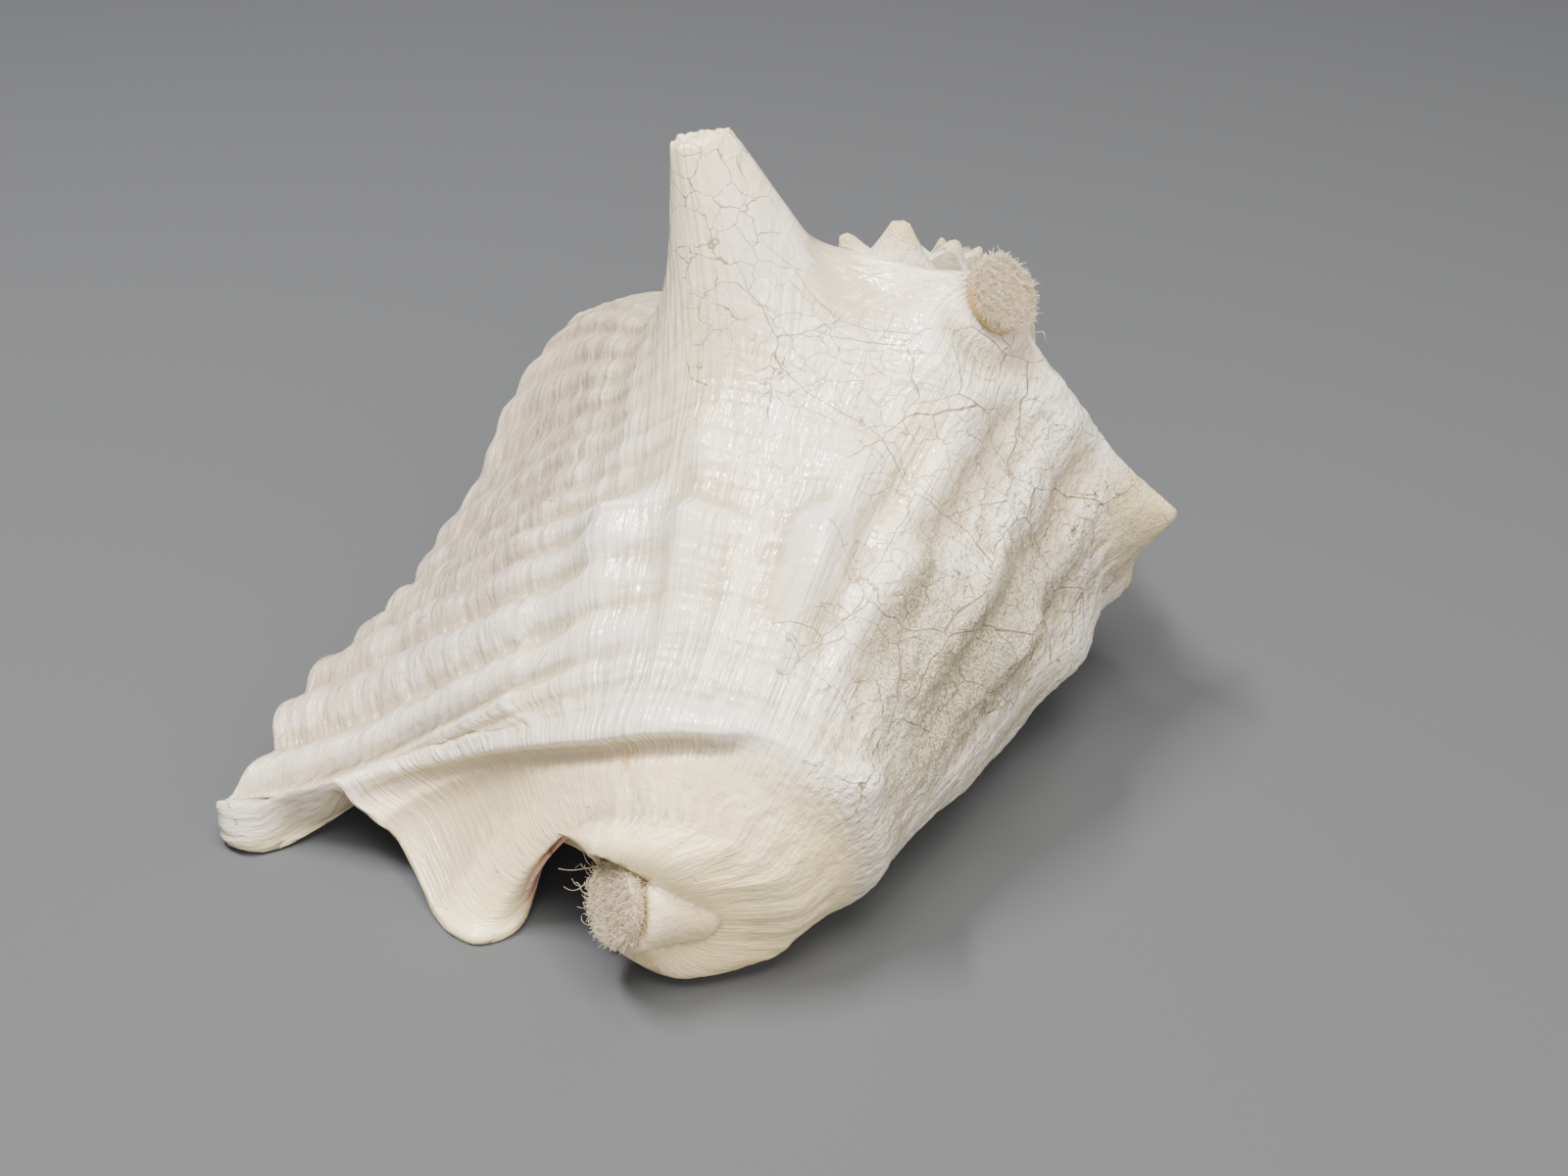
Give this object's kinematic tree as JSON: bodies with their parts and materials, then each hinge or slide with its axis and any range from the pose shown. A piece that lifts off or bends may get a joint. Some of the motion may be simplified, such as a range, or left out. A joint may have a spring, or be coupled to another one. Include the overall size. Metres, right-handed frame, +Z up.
{
  "type": "queen conch shell",
  "caption": "Large bleached conch shell lying with its opening down, with tall shoulder knobs, a flared folded lip and felt pads glued to it.",
  "frame": {"origin": "middle of the object's outline, on the table that it lies on", "axes": "+Z up, +Y towards the spire's tip, the flared lip is on the -X side"},
  "size_m": [0.1889, 0.2252, 0.1452],
  "materials": {
    "shell_lime": "bleached white shell, satin and glossy in places, cream towards the front end, with fine brown craze lines",
    "wool_felt": "thick grey beige wool felt, fuzzy"
  },
  "bodies": {
    "root": {"shell": "shell_lime", "spine_felt_pad": "wool_felt", "canal_felt_pad": "wool_felt"}
  },
  "joints": []
}
